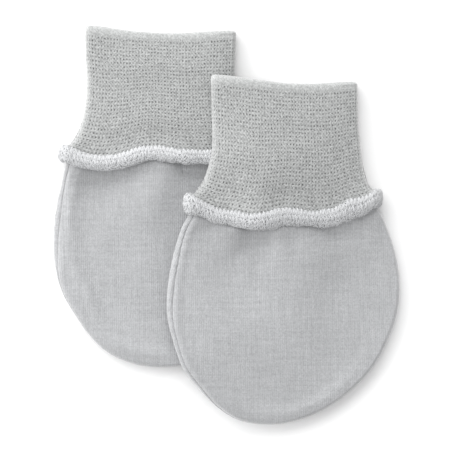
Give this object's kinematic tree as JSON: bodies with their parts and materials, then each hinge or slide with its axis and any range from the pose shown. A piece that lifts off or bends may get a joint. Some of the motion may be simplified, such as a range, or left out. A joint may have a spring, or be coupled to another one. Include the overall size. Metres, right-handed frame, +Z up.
{
  "type": "pair of baby mittens",
  "caption": "Pair of newborn scratch mittens in plain jersey with folded rib-knit cuffs and an overlocked wavy hem, laid flat with one lying half on the other.",
  "frame": {"origin": "on the surface that the pair lies on, at the middle of the pair's length and width", "axes": "+X across the mittens from the under one to the over one, +Y along the mittens from the fingers to the wrists, +Z up from the surface"},
  "size_m": [0.1189, 0.1367, 0.0166],
  "materials": {
    "jersey": "fine light grey cotton jersey, matt, with faint wale lines",
    "rib_knit": "light grey 1x1 rib knit, matt, with a grid of fine stitches",
    "hem_thread": "fluffy near-white and grey overlock thread"
  },
  "bodies": {
    "root": {"under_hand_front": "jersey", "under_hand_back": "jersey", "under_cuff": "rib_knit", "under_hem_roll": "hem_thread", "over_hand_front": "jersey", "over_hand_back": "jersey", "over_cuff": "rib_knit", "over_hem_roll": "hem_thread"}
  },
  "joints": []
}
